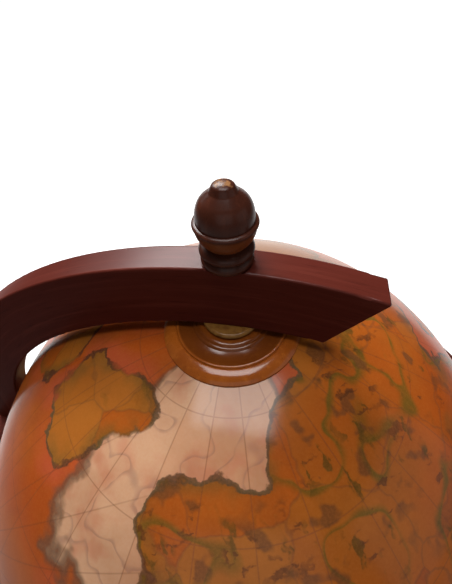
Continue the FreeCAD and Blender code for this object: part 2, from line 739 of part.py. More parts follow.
def caster_socket():
    """Flanged sleeve pressed into a foot."""
    bore = STEM_RADIUS + RUNNING
    low = CASTER_HEIGHT - SOCKET_FLANGE
    top = CASTER_HEIGHT + STEM_LENGTH
    flange = 1.7 * socket_radius()
    return turned((bore, low), (flange, low), (flange, CASTER_HEIGHT),
                  (socket_radius(), CASTER_HEIGHT), (socket_radius(), top), (bore, top))


def caster_fork():
    """Crown, stem and two cheeks with round ends at the axle."""
    lobe = 0.35 * WHEEL_RADIUS
    root = 0.62 * WHEEL_RADIUS
    cheek = Part.Face(outline(
        (-root, CROWN_BOTTOM + CROWN_THICKNESS / 2),
        [(-root, CROWN_BOTTOM), (CASTER_TRAIL - lobe, WHEEL_RADIUS),
         ((CASTER_TRAIL, WHEEL_RADIUS - lobe), (CASTER_TRAIL + lobe, WHEEL_RADIUS)),
         (root, CROWN_BOTTOM), (root, CROWN_BOTTOM + CROWN_THICKNESS / 2)],
    )).extrude(Vector(0, FORK_THICKNESS, 0))
    crown = rod(math.hypot(root, FORK_OUTER), CROWN_THICKNESS, Vector(0, 0, CROWN_BOTTOM))
    stem = rod(STEM_RADIUS, STEM_LENGTH - SEAT, Vector(0, 0, CROWN_TOP))
    fork = crown.multiFuse([stem, moved(cheek, y=FORK_INNER), moved(cheek, y=-FORK_OUTER)])
    hole = rod(AXLE_RADIUS + SLIP, 4 * WHEEL_WIDTH,
               Vector(CASTER_TRAIL, -2 * WHEEL_WIDTH, WHEEL_RADIUS), Vector(0, 1, 0))
    return fork.cut(hole).removeSplitter()


def on_axle(shape):
    """Stands a piece turned about Z on the wheel's axle."""
    return moved(rotated(shape, 90, Vector(1, 0, 0)), CASTER_TRAIL, 0, WHEEL_RADIUS)


def caster_axle():
    """Rivet with a domed head outside each cheek."""
    return on_axle(domed_pin(AXLE_RADIUS, FORK_OUTER + SLIP, 1.8 * AXLE_RADIUS, AXLE_HEAD))


def caster_wheel():
    """Wheel with a crowned tread, dished sides and a raised hub."""
    r = WHEEL_RADIUS
    w = WHEEL_WIDTH / 2
    bore = AXLE_RADIUS + RUNNING
    return on_axle(turned(
        (bore, -w), (0.36 * r, -w), (0.42 * r, -0.6 * w), (0.74 * r, -0.6 * w), (0.8 * r, -0.9 * w),
        ((0.95 * r, -0.84 * w), (0.985 * r, -0.5 * w)), ((r, 0), (0.985 * r, 0.5 * w)),
        ((0.95 * r, 0.84 * w), (0.8 * r, 0.9 * w)),
        (0.74 * r, 0.6 * w), (0.42 * r, 0.6 * w), (0.36 * r, w), (bore, w),
    ))


def export_lid():
    pole_z = GLOBE_Z + INNER_RADIUS - HUB_HEIGHT - SEAT - WASHER_THICKNESS
    finial_z = GLOBE_Z + finial_flat()
    bolt_length = finial_z + 0.45 * FINIAL_HEIGHT - pole_z
    export("meridian_arm", meridian_arm())
    export("arm_foot_block", foot_block())
    export("arm_screws", *arm_screws(wood_screw))
    export("acorn_finial", moved(finial(), z=finial_z))
    export("pole_bush", upper_half(bush()))
    export("pole_bolt", moved(bolt(bolt_length), z=pole_z))
    export("pole_washer", washer(pole_z))
    export("hinge_arm_leaf", arm_leaf())
    export("hinge_arm_screws", *arm_leaf_screws(wood_screw))
    export("stop_buttons", *stop_buttons())
    export("upper_hemisphere", upper_half(half_shell(LID_GAP)))
    export("upper_rim_hoop", upper_half(half_hoop(LID_GAP)))
    export("pole_boss", upper_half(boss()))
    export("pole_hub", upper_half(hub()))


def export_bowl():
    screw_room = Part.makeCompound(rim_screws(screw_hole))
    seat = GLOBE_Z - sphere_height(INNER_RADIUS, WASHER_RADIUS)
    drop_z = GLOBE_Z - boss_top()
    bolt_length = seat + WASHER_THICKNESS - drop_z + 0.48 * DROP_HEIGHT
    export("lower_hemisphere", lower_half(half_shell(0)).cut(screw_room))
    export("lower_rim_hoop", lower_half(half_hoop(0)).cut(screw_room))
    export("rim_screws", *rim_screws(wood_screw))
    export("rim_dots", *rim_dots())
    export("south_boss", lower_half(boss()))
    export("south_drop", moved(drop(), z=drop_z))
    export("south_washer", washer(seat))
    export("south_bolt", moved(rotated(bolt(bolt_length), 180, Vector(1, 0, 0)), z=seat + WASHER_THICKNESS))
    for index, board in enumerate(rack_boards(), start=1):
        export(f"glass_rack_{index}", board)
    export("glass_rack_base", rack_base())
    export("rack_screws", *rack_screws(wood_screw))
    export("bottle_floor", bowl_plate(FLOOR_Z, FLOOR_THICKNESS))
    export("bottle_mat", bottle_mat())


def export_stand():
    export("table_ring", table_ring())
    export("horizon_band", horizon_band())
    export("hinge_table_leaf", table_leaf())
    export("hinge_table_screws", *table_leaf_screws(wood_screw))
    export("hinge_pin", hinge_pin())
    export("lower_shelf", lower_shelf())
    upper_stud = moved(stud(STUD_IN_LEG + STUD_IN_TABLE), z=TABLE_BOTTOM - STUD_IN_LEG)
    lower_stud = stud(STUD_IN_FOOT + SHELF_THICKNESS + STUD_IN_LEG)
    lower_stud = moved(lower_stud, z=SHELF_BOTTOM - STUD_IN_FOOT)
    export("leg_studs", *on_leg_circle(upper_stud), *on_leg_circle(lower_stud))
    export("caster_sockets", *on_leg_circle(caster_socket()))
    sets = {
        "leg": moved(leg(), z=SHELF_TOP),
        "foot": moved(foot(), z=CASTER_HEIGHT),
        "caster_fork": caster_fork(),
        "caster_axle": caster_axle(),
        "caster_wheel": caster_wheel(),
    }
    for name, shape in sets.items():
        for index, copy in enumerate(on_leg_circle(shape), start=1):
            export(f"{name}_{index}", copy)


os.makedirs("parts", exist_ok=True)
export_lid()
export_bowl()
export_stand()
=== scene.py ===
import collections
import functools
import json
import math
import random

import bmesh
import bpy
import mathutils
from mathutils import Matrix, Vector


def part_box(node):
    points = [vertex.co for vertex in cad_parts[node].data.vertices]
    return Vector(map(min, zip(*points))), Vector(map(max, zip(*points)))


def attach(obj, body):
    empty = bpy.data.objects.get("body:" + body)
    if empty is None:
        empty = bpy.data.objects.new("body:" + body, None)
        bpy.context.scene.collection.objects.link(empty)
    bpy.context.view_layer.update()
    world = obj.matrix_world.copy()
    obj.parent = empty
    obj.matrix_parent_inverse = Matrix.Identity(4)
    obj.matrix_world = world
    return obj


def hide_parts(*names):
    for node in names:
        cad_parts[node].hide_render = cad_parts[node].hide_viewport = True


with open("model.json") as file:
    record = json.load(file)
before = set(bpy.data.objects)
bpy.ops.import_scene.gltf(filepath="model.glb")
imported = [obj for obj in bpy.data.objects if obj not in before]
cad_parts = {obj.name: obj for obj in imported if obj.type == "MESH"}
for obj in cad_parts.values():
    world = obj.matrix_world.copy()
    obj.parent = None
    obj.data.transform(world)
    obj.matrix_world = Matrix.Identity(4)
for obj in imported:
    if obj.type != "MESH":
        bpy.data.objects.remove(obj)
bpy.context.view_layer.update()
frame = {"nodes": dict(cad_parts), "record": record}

# Looks of the globe bar table. Metres, in the frame of the solids: +Z up, origin on the
# floor below the globe, the arm's hinge at -X and its tip towards +X. Colours are linear.

# Sizes from the frame
NODES = frame["nodes"]
SHELL_LOW, SHELL_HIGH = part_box("upper_hemisphere")
GLOBE_RADIUS = (SHELL_HIGH[0] - SHELL_LOW[0]) / 2
GLOBE_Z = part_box("lower_hemisphere")[1][2]
GLOBE_CENTRE = (0.0, 0.0, GLOBE_Z)
POLE = (0.0, 0.0, GLOBE_Z + GLOBE_RADIUS)
TABLE_EDGE, _, TABLE_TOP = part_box("table_ring")[1]
BAND_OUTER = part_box("horizon_band")[1][0]
FINIAL_LOW, FINIAL_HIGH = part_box("acorn_finial")
FINIAL_RADIUS = FINIAL_HIGH[0]
FINIAL_FOOT = FINIAL_LOW[2]
FINIAL_TOP = FINIAL_HIGH[2]
BOSS_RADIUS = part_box("pole_boss")[1][0]
MM = 0.001
RAD_PER_MM = MM / GLOBE_RADIUS


# Node fields: small helpers that build material trees with plain arithmetic

COLOUR_INPUTS = (0, 6, 7)                   # factor and the two colours of a Mix node
COLOUR_RESULT = 2
NUMBER_RESULTS = ("DOT_PRODUCT", "LENGTH")  # vector operations that give one number

Tint = collections.namedtuple("Tint", "strength colour")


class Field:
    """A number, vector or colour inside a material; arithmetic on it adds nodes."""

    def __init__(self, socket):
        self.socket = socket
        self.tree = socket.id_data

    def __add__(self, other):
        return calc("ADD", self, other)

    def __radd__(self, other):
        return calc("ADD", other, self)

    def __sub__(self, other):
        return calc("SUBTRACT", self, other)

    def __rsub__(self, other):
        return calc("SUBTRACT", other, self)

    def __mul__(self, other):
        return calc("MULTIPLY", self, other)

    def __rmul__(self, other):
        return calc("MULTIPLY", other, self)

    def __truediv__(self, other):
        return calc("DIVIDE", self, other)


def feed(node, values):
    """Links fields to inputs of a node, given by name or place, and writes plain values there."""
    for key, value in values.items():
        socket = node.inputs[key]
        if isinstance(value, Field):
            node.id_data.links.new(value.socket, socket)
        elif socket.type == "RGBA" and len(value) == 3:
            socket.default_value = (*value, 1.0)
        else:
            socket.default_value = value


def tree_of(values):
    return next(value.tree for value in values if isinstance(value, Field))


def calc(operation, *values):
    node = tree_of(values).nodes.new("ShaderNodeMath")
    node.operation = operation
    feed(node, dict(enumerate(values)))
    return Field(node.outputs[0])


def vector(operation, *values):
    node = tree_of(values).nodes.new("ShaderNodeVectorMath")
    node.operation = operation
    feed(node, dict(enumerate(values)))
    return Field(node.outputs["Value" if operation in NUMBER_RESULTS else "Vector"])


def place(tree):
    """Position in the frame of the solids."""
    return Field(tree.nodes.new("ShaderNodeTexCoord").outputs["Object"])


def facing(tree):
    """Direction of the surface in the frame of the solids."""
    return Field(tree.nodes.new("ShaderNodeTexCoord").outputs["Normal"])


def split(field):
    node = field.tree.nodes.new("ShaderNodeSeparateXYZ")
    feed(node, {0: field})
    return [Field(output) for output in node.outputs]


def join(*parts):
    node = tree_of(parts).nodes.new("ShaderNodeCombineXYZ")
    feed(node, dict(enumerate(parts)))
    return Field(node.outputs[0])


def hypotenuse(x, y):
    return calc("SQRT", x * x + y * y)


def bearing(x, y):
    """Angle round the Z axis from +X, in radians."""
    return calc("ARCTAN2", y, x)


def noise_node(field, scale, detail, roughness):
    node = field.tree.nodes.new("ShaderNodeTexNoise")
    feed(node, {"Vector": field, "Scale": scale, "Detail": detail, "Roughness": roughness})
    return node


def noise(field, scale, detail=2.0, roughness=0.5):
    return Field(noise_node(field, scale, detail, roughness).outputs["Fac"])


def sway(field, scale, size, detail=2.0):
    """Random vector about zero, of roughly the given size."""
    colour = Field(noise_node(field, scale, detail, 0.5).outputs["Color"])
    centred = vector("SUBTRACT", colour, (0.5, 0.5, 0.5))
    return vector("MULTIPLY", centred, (size, size, size))


def cells(field, scale):
    node = field.tree.nodes.new("ShaderNodeTexVoronoi")
    feed(node, {"Vector": field, "Scale": scale})
    return node


def cell_value(field, scale):
    """Random number that is constant inside each cell of a Voronoi pattern."""
    return split(Field(cells(field, scale).outputs["Color"]))[0]


def cell_edge(field, scale):
    """Distance to the nearest border of the same cells."""
    node = cells(field, scale)
    node.feature = "DISTANCE_TO_EDGE"
    return Field(node.outputs["Distance"])


def chance(field):
    """Random number from 0 to 1 for each value of the field."""
    node = field.tree.nodes.new("ShaderNodeTexWhiteNoise")
    node.noise_dimensions = "1D"
    feed(node, {"W": field})
    return Field(node.outputs["Value"])


def step(field, low, high):
    """Smooth change from 0 at low to 1 at high."""
    node = field.tree.nodes.new("ShaderNodeMapRange")
    node.interpolation_type = "SMOOTHSTEP"
    feed(node, {"Value": field, "From Min": low, "From Max": high})
    return Field(node.outputs["Result"])


def between(field, start, end):
    """1 between two soft edges, each given by where it begins and ends."""
    return step(field, *start) * (1.0 - step(field, *end))


def patches(field, scale, detail, edge, roughness=0.5):
    """Soft patches: 0 where a noise is below the edge's low value, 1 above its high value."""
    return step(noise(field, scale, detail, roughness), *edge)


def mix(factor, first, second, blend="MIX"):
    values = (factor, first, second)
    node = tree_of(values).nodes.new("ShaderNodeMix")
    node.data_type = "RGBA"
    node.blend_type = blend
    feed(node, dict(zip(COLOUR_INPUTS, values)))
    return Field(node.outputs[COLOUR_RESULT])


def tinted(colour, mask, tint):
    """Colour with a tint laid over it, as far as the mask and the tint's strength go."""
    return mix(mask * tint.strength, colour, tint.colour)


def line(distance, half_width, soft):
    """1 on a line and 0 away from it, from the distance to the line."""
    return 1.0 - step(distance, half_width - soft, half_width + soft)


def either(masks):
    """Greatest of several masks at each place."""
    return functools.reduce(lambda first, second: calc("MAXIMUM", first, second), masks)


def repeat_distance(field, pitch):
    """Distance to the nearest whole multiple of the pitch."""
    nearest = calc("ROUND", field / pitch) * pitch
    return calc("ABSOLUTE", field - nearest)


def bump(height, distance, strength):
    node = height.tree.nodes.new("ShaderNodeBump")
    feed(node, {"Strength": strength, "Distance": distance, "Height": height})
    return Field(node.outputs["Normal"])


def surface(name, paint, finish=None):
    """Material with the fixed values of a finish, and with what paint(tree) adds to them."""
    material = bpy.data.materials.new(name)
    material.use_nodes = True
    tree = material.node_tree
    feed(tree.nodes["Principled BSDF"], {**(finish or {}), **paint(tree)})
    return material


# Finishes

def coat(weight, roughness):
    """Clear coat that carries all the gloss, over a matt base."""
    return {
        "Specular IOR Level": 0.0,
        "Coat Weight": weight,
        "Coat Roughness": roughness,
        "Coat IOR": 1.5,
    }


LACQUER = coat(weight=0.24, roughness=0.3)
POLISH = coat(weight=0.68, roughness=0.15)
FINIAL_GLOSS = coat(weight=0.38, roughness=0.28)
VARNISH = coat(weight=0.42, roughness=0.16)
SATIN = coat(weight=0.35, roughness=0.22)
METAL = {"Metallic": 1.0}
NAPPED = {"Sheen Weight": 0.4}


# Woods

# Dark, middle and light tone of each stained wood
MAHOGANY = ((0.060, 0.0100, 0.006), (0.076, 0.0138, 0.009), (0.096, 0.019, 0.012))
STAND_WOOD = ((0.047, 0.0078, 0.0048), (0.080, 0.0150, 0.0095), (0.122, 0.0265, 0.0155))
BAR_WOOD = ((0.13, 0.048, 0.018), (0.21, 0.085, 0.032), (0.30, 0.13, 0.055))
EBONISED = ((0.038, 0.0095, 0.0048), (0.049, 0.0125, 0.0064), (0.064, 0.017, 0.0085))
CARAMEL = ((0.205, 0.047, 0.006), (0.255, 0.063, 0.007), (0.30, 0.083, 0.011))

# Stains, wear, inlay and the shadows in joints, with the painted reflection on the finial's cup and the
# painted shade in the disc's dish
# Painted reflection of the orange globe on the finial's cup
CUP_GLOBE_REFLECTION = Tint(0.8, (0.135, 0.034, 0.008))
# Painted shade of the arm, laid over the disc inside its outer ring
DISH_PAINTED_SHADE = (0.055, 0.0125, 0.0025)
BARE_WOOD = Tint(0.9, (0.26, 0.125, 0.05))
RUBBED_WOOD = Tint(0.5, (0.17, 0.052, 0.024))
INLAY_WOOD = (0.42, 0.23, 0.075)
MITRE_SHADOW = Tint(0.8, (0.008, 0.002, 0.001))
SHELF_JOINT = Tint(0.6, (0.01, 0.003, 0.002))
BAR_JOINT = Tint(0.3, (0.01, 0.003, 0.002))

# Noise per metre along and across the grain
FIGURE = (5.0, 42.0)
STREAKS = (14.0, 260.0)
PORES = (70.0, 1500.0)
PORE_STRENGTH = 0.35
PORE_SHADE = 0.35           # of the dark tone
GRAIN_RELIEF = 0.12 * MM

# Lines in the wood: half width and softness, with the distance outside the band for an inlay
MITRE = (0.18 * MM, 0.1 * MM)
BOARD_JOINT = (0.2 * MM, 0.12 * MM)
INLAYS = ((9 * MM, 0.8 * MM, 0.12 * MM), (13 * MM, 0.35 * MM, 0.1 * MM))
INLAY_DEPTH = (0.4 * MM, 0.1 * MM)

# Ring and boards: how far apart in the log neighbours are cut, their tones and widths
RING_SEGMENT = math.tau / 8
SEGMENT_SHIFT = 1.7
SEGMENT_TONES = ((0.86, 0.82, 0.80), (1.14, 1.12, 1.10))
RUB_WIDTH = 1.6 * MM
BOARD_SHIFT_ALONG = 0.83
BOARD_SHIFT_DEEP = 0.31
BOARD_TONES = ((0.84, 0.80, 0.78), (1.16, 1.14, 1.12))
SHELF_BOARD = 0.095
BAR_BOARD = 0.07

# Arm: share of the coat that is rubbed off its flat sides, and how squarely a side faces Y
SIDE_RUB = 0.8
SIDE_FACING = (0.8, 0.97)

# Finial: shares of its height where the painted reflection of the orange globe on its cup begins and
# ends, and the wear about its top
CUP_FOOT = (0.27, 0.33)
CUP_LIP = (0.48, 0.53)
WORN_EDGE = (-0.6 * MM, 0.4 * MM)
WORN_RAGGED = 4 * MM
WORN_GLOSS_LOSS = 0.33

# Disc under the arm: shares of its radius where the outer ring and the dish begin, and how strongly
# # the painted shade of the arm darkens inside that ring and, on top of it, in the dish
OUTER_RING = (0.75, 0.79)
DISH = (0.42, 0.52)
RING_SHADE_SHARE = 0.5
DISH_SHADE_SHARE = 0.2


def fibres(spot, pitch, detail, roughness):
    """Noise drawn out along the grain. spot is the place along, across and deep in the wood."""
    along, across, depth = spot
    lengthwise, crosswise = pitch
    stretched = join(along * lengthwise, across * crosswise, depth * crosswise)
    return noise(stretched, scale=1.0, detail=detail, roughness=roughness)


def grain(along, across, depth, tones):
    """Stained wood: broad figure, fine streaks and open pores drawn out along the grain."""
    dark, middle, light = tones
    spot = (along, across, depth)
    figure = fibres(spot, FIGURE, detail=4.0, roughness=0.55)
    streak = fibres(spot, STREAKS, detail=3.0, roughness=0.6)
    pore = step(fibres(spot, PORES, detail=2.0, roughness=0.5), 0.6, 0.72)
    colour = mix(step(figure, 0.3, 0.7), dark, middle)
    colour = mix(step(streak, 0.48, 0.8), colour, light)
    colour = mix(pore * PORE_STRENGTH, colour, tuple(PORE_SHADE * tone for tone in dark))
    return {
        "Base Color": colour,
        "Roughness": 0.34 + 0.16 * streak,
        "Normal": bump(pore * -0.6 + streak * 0.4, distance=GRAIN_RELIEF, strength=0.5),
    }


def toned(colour, index, tones):
    """Colour of one board, a little darker or lighter than its neighbours."""
    return mix(1.0, colour, mix(chance(index), *tones), "MULTIPLY")


def turned_wood(tones):
    """Wood turned on a lathe, with its grain along Z."""
    def paint(tree):
        x, y, z = split(place(tree))
        return grain(z, x, y, tones)
    return paint


def arm_wood(tree):
    """Grain that follows the arc of the arm, whose flat sides are rubbed duller than its top."""
    x, y, z = split(place(tree))
    height = z - GLOBE_Z
    along = calc("ARCTAN2", x, height) * GLOBE_RADIUS
    wood = grain(along, y, hypotenuse(x, height), MAHOGANY)
    side = step(calc("ABSOLUTE", split(facing(tree))[1]), *SIDE_FACING)
    wood["Coat Weight"] = LACQUER["Coat Weight"] * (1.0 - SIDE_RUB * side)
    return wood


def ring_inlay(radius, z):
    """Mask of the lines let into the top of the table."""
    deep, shallow = INLAY_DEPTH
    on_top = step(z, TABLE_TOP - deep, TABLE_TOP - shallow)
    lines = []
    for outside, half_width, soft in INLAYS:
        off_line = calc("ABSOLUTE", radius - (BAND_OUTER + outside))
        lines.append(line(off_line, half_width, soft))
    return either(lines) * on_top


def ring_wood(tree):
    """Ring built from mitred segments, with pale inlaid lines and a rim that hands have rubbed."""
    spot = place(tree)
    x, y, z = split(spot)
    radius = hypotenuse(x, y)
    angle = bearing(x, y)
    index = calc("ROUND", angle / RING_SEGMENT)
    local = angle - index * RING_SEGMENT
    across = radius * calc("COSINE", local) + index * SEGMENT_SHIFT
    wood = grain(radius * calc("SINE", local), across, z, STAND_WOOD)
    colour = toned(wood["Base Color"], index, SEGMENT_TONES)
    to_mitre = (RING_SEGMENT / 2 - calc("ABSOLUTE", local)) * radius
    colour = tinted(colour, line(to_mitre, *MITRE), MITRE_SHADOW)
    colour = mix(ring_inlay(radius, z), colour, INLAY_WOOD)
    rim = step(radius, TABLE_EDGE - RUB_WIDTH, TABLE_EDGE)
    rubbed = rim * patches(spot, scale=26.0, detail=4.0, edge=(0.42, 0.7))
    wood["Base Color"] = tinted(colour, rubbed, RUBBED_WOOD)
    return wood


def board_wood(tones, width, joint_tint):
    """Boards of one width glued edge to edge, with the grain along X."""
    def paint(tree):
        x, y, z = split(place(tree))
        index = calc("FLOOR", y / width)
        wood = grain(x + index * BOARD_SHIFT_ALONG, y, z + index * BOARD_SHIFT_DEEP, tones)
        colour = toned(wood["Base Color"], index, BOARD_TONES)
        joint = line(repeat_distance(y, width), *BOARD_JOINT)
        wood["Base Color"] = tinted(colour, joint, joint_tint)
        return wood
    return paint


def finial_wood(tree):
    """Dark turned wood with a painted reflection of the orange globe reddening its cup, rubbed down to
    pale wood at the very top of its nub.
    """
    spot = place(tree)
    x, y, z = split(spot)
    wood = grain(z, x, y, EBONISED)
    rise = (z - FINIAL_FOOT) / (FINIAL_TOP - FINIAL_FOOT)
    # Painted reflection of the orange globe, reddening the cup
    colour = tinted(wood["Base Color"], between(rise, CUP_FOOT, CUP_LIP), CUP_GLOBE_REFLECTION)
    ragged = z + (noise(spot, scale=420.0, detail=4.0, roughness=0.6) - 0.5) * WORN_RAGGED
    worn = step(ragged - FINIAL_TOP, *WORN_EDGE)
    wood["Base Color"] = tinted(colour, worn, BARE_WOOD)
    wood["Coat Weight"] = FINIAL_GLOSS["Coat Weight"] - WORN_GLOSS_LOSS * worn
    return wood


def boss_wood(tree):
    """Caramel wood, darkened inside the outer ring and most of all in the dish by painted shade of the
    arm above it.
    """
    x, y, z = split(place(tree))
    wood = grain(z, x, y, CARAMEL)
    radius = hypotenuse(x, y) / BOSS_RADIUS
    inside = 1.0 - step(radius, *OUTER_RING)
    # Painted shade of the arm: darker inside the outer ring, darker still in the dish
    painted_shade = inside * (RING_SHADE_SHARE + DISH_SHADE_SHARE * step(radius, *DISH))
    wood["Base Color"] = mix(painted_shade, wood["Base Color"], DISH_PAINTED_SHADE)
    return wood


# Map of the globe

# Land in caps of a sphere: latitude, longitude and radius in degrees
LANDS = (
    (63, -108, 15), (48, -100, 15), (34, -101, 9), (56, -72, 9), (66, -150, 7), (18, -97, 5),
    (63, -36, 8), (69, -28, 5), (61, -172, 9), (3, -66, 12), (-12, -56, 14), (-30, -63, 9), (-45, -70, 4),
    (18, 4, 15), (20, 26, 12), (1, 22, 12), (-16, 26, 11), (-29, 24, 6), (8, 43, 5),
    (48, 10, 8), (62, 17, 7), (55, 36, 12), (40, -4, 5), (63, 68, 13), (65, 103, 14),
    (64, 142, 12), (46, 76, 15), (40, 106, 13), (20, 78, 8), (24, 109, 9), (26, 46, 10),
    (-2, 114, 5), (-5, 141, 5), (-24, 124, 9), (-27, 141, 9), (-86, 0, 17), (17, -163, 10),
    (33, 170, 7), (-22, -160, 9),
)
ISLANDS = 26                        # scattered over the warm seas
ISLAND_SEED = 5
ISLAND_LATITUDES = (-48, 46)
ISLAND_LONGITUDES = (-180, 180)
ISLAND_RADII = (2.0, 8.5)
MAP_TURN = -108.0                   # turns a longitude into an angle from +X
LAND_BLEND = 0.06
COAST_BLUR = 0.004
SHELL_PRINT = (3 * MM, 2 * MM)      # depth at which the lining takes over from the print

# Chart: latitude and longitude of each rose, and half width and softness of the lines
ROSES = ((22, -38), (-22, 78), (8, -150))
ROSE_LINES = 16
ROSE_REACH = (0.55, 0.75)           # cosine of the angle from a rose where its lines end
ROSE_LINE = (0.35 * RAD_PER_MM, 0.25 * RAD_PER_MM)
GORE = math.radians(15)
GRID_LINE = (0.3 * RAD_PER_MM, 0.2 * RAD_PER_MM)
SEAM_LINE = (0.45 * RAD_PER_MM, 0.3 * RAD_PER_MM)
COAST_LINE = (0.4 * RAD_PER_MM, 3.4 * RAD_PER_MM)   # least half width, and how much it grows
ROSE_INK = Tint(0.3, (0.07, 0.025, 0.012))
GRID_INK = Tint(0.4, (0.09, 0.03, 0.015))
COAST_COVER = 0.9
COAST_INKS = ((0.055, 0.047, 0.022), (0.05, 0.02, 0.012))

# Paints of the lands: each takes over where a random number passes its edge
COUNTRIES = 4.2                     # scale of the cells that divide the land
LAND_BASE = (0.26, 0.078, 0.009)
LAND_PAINTS = (
    ((0.25, 0.30), (0.28, 0.060, 0.006)),
    ((0.45, 0.50), (0.27, 0.084, 0.011)),
    ((0.70, 0.74), (0.18, 0.045, 0.009)),
    ((0.84, 0.88), (0.18, 0.072, 0.009)),
)
LAND_WARMTH = Tint(0.85, (0.29, 0.050, 0.004))
BORDER_INK = Tint(0.35, (0.08, 0.035, 0.015))
SHORE_GREEN = Tint(0.6, (0.085, 0.056, 0.013))

SEA_PAINTS = ((0.27, 0.046, 0.006), (0.29, 0.066, 0.009))
SEA_STAIN = Tint(0.5, (0.22, 0.042, 0.012))
COAST_WASH = Tint(0.6, (0.34, 0.056, 0.025))

# Pale paper by the pole: the side it lies on, and cosines of half its spread
PAPER_SIDE = -math.pi / 2
PAPER_SPREAD = (math.cos(math.radians(45)), math.cos(math.radians(30)))
PAPER_LATITUDE = (0.78, 0.98)
PAPER_TONES = ((0.42, 0.22, 0.12), (0.50, 0.33, 0.205))
PAPER_COVER = 0.85
PAPER_RIM = 0.47                    # value of the paper's mask along its inked edge
PAPER_BLUSH = Tint(0.5, (0.38, 0.13, 0.075))
PAPER_STROKE = Tint(0.5, (0.15, 0.10, 0.085))
PAPER_EDGE = Tint(0.75, (0.075, 0.045, 0.028))
GORE_DRAW = 3.0                     # shifts the random tones of the gores

# Brush work on the wild lands: direction, scale and ink of each kind of dash
DASHES = (
    ((0.53, -0.80, -0.28), 30.0, Tint(0.8, (0.045, 0.036, 0.006))),
    ((0.80, 0.55, -0.24), 40.0, Tint(0.75, (0.055, 0.018, 0.007))),
)
MOSS_STROKE = Tint(0.9, (0.085, 0.058, 0.007))
BLOT_INK = Tint(0.7, (0.070, 0.030, 0.012))

# Painted grey sheen on the globe's far rim, behind the arm
FAR_RIM_SHEEN = Tint(0.6, (0.115, 0.085, 0.058))
AGE_TINT = Tint(0.35, (0.11, 0.024, 0.005))
FIBRE_TINT = Tint(0.11, (0.40, 0.14, 0.03))
LINING_TONES = ((0.36, 0.20, 0.075), (0.50, 0.31, 0.13))


def direction(latitude, longitude):
    lat = math.radians(latitude)
    lon = math.radians(longitude + MAP_TURN)
    return (math.cos(lat) * math.cos(lon), math.cos(lat) * math.sin(lon), math.sin(lat))


def islands():
    draw = random.Random(ISLAND_SEED)
    caps = []
    for _ in range(ISLANDS):
        latitude = draw.uniform(*ISLAND_LATITUDES)
        longitude = draw.uniform(*ISLAND_LONGITUDES)
        caps.append((latitude, longitude, draw.uniform(*ISLAND_RADII)))
    return caps


def cap_height(way, latitude, longitude, radius):
    """Height over the edge of one round cap: positive inside it, in radians near its edge."""
    edge = math.radians(radius)
    reach = vector("DOT_PRODUCT", way, direction(latitude, longitude))
    return calc("MULTIPLY_ADD", reach, 1 / math.sin(edge), -1 / math.tan(edge))


def land_height(way):
    """Positive inside the land and negative at sea, with ragged coasts."""
    bent = vector("ADD", way, sway(way, scale=2.8, size=0.22, detail=2.0))
    bent = vector("NORMALIZE", vector("ADD", bent, sway(way, scale=11.0, size=0.07, detail=4.0)))
    caps = [cap_height(bent, *cap) for cap in [*LANDS, *islands()]]
    smooth = functools.reduce(lambda first, second: calc("SMOOTH_MAX", first, second, LAND_BLEND), caps)
    return smooth + (noise(way, scale=34.0, detail=3.0) - 0.5) * 0.03


def rose_lines(way, latitude, longitude):
    """Fine lines that cross at one point, as on a sea chart."""
    centre = Vector(direction(latitude, longitude))
    east = Vector((0, 0, 1)).cross(centre).normalized()
    north = centre.cross(east)
    u = vector("DOT_PRODUCT", way, tuple(east))
    v = vector("DOT_PRODUCT", way, tuple(north))
    off_line = repeat_distance(bearing(u, v), math.pi / ROSE_LINES) * hypotenuse(u, v)
    front = step(vector("DOT_PRODUCT", way, tuple(centre)), *ROSE_REACH)
    return line(off_line, *ROSE_LINE) * front


def chart_lines(way, to_grid, colour):
    """Lines of the roses and of the grid, from the distance to the grid."""
    roses = either([rose_lines(way, *rose) for rose in ROSES])
    colour = tinted(colour, roses, ROSE_INK)
    return tinted(colour, line(to_grid, *GRID_LINE), GRID_INK)


def land_colours(way, height):
    """Patchwork of ochre, orange, brown and olive lands with a greener shore."""
    bent = vector("ADD", way, sway(way, scale=7.0, size=0.12, detail=3.0))
    pick = cell_value(bent, COUNTRIES)
    colour = LAND_BASE
    for edge, paint in LAND_PAINTS:
        colour = mix(step(pick, *edge), colour, paint)
    warm = step(noise(way, scale=1.7) + 0.4 * split(way)[0], 0.45, 0.75)
    colour = tinted(colour, warm, LAND_WARMTH)
    border = line(cell_edge(bent, COUNTRIES), half_width=0.012, soft=0.008)
    colour = tinted(colour, border, BORDER_INK)
    shore = (1.0 - step(height, 0.0, 0.05)) * patches(way, scale=9.0, detail=3.0, edge=(0.38, 0.62))
    return tinted(colour, shore, SHORE_GREEN)


def sea_colours(way, height):
    """Orange-brown sea that wanders between rust and amber, with a red wash along the coasts."""
    colour = mix(patches(way, scale=2.6, detail=3.0, edge=(0.35, 0.65)), *SEA_PAINTS)
    stains = patches(way, scale=11.0, detail=4.0, edge=(0.5, 0.8), roughness=0.6)
    colour = tinted(colour, stains, SEA_STAIN)
    near = step(height, -0.11, -0.01) * patches(way, scale=6.0, detail=3.0, edge=(0.35, 0.6))
    return tinted(colour, near, COAST_WASH)


def brush_strokes(way, scale, width):
    """Winding strokes: narrow bands of one noise, broken up by another."""
    bands = calc("ABSOLUTE", noise(way, scale=scale, detail=1.5) - 0.5)
    breaks = patches(way, scale=scale, detail=1.0, edge=(0.47, 0.53))
    return line(bands, half_width=width, soft=0.4 * width) * breaks


def brush_dashes(way, along, scale):
    """Short crooked dashes of a brush, drawn out along one direction and bunched in places."""
    crooked = vector("ADD", way, sway(way, scale=1.2 * scale, size=1.1 / scale, detail=2.0))
    reach = vector("DOT_PRODUCT", crooked, along)
    pull = vector("MULTIPLY", join(reach, reach, reach), tuple(0.68 * part for part in along))
    bunch = patches(way, scale=0.28 * scale, detail=2.0, edge=(0.42, 0.6))
    return patches(vector("SUBTRACT", crooked, pull), scale=scale, detail=2.0, edge=(0.58, 0.66)) * bunch


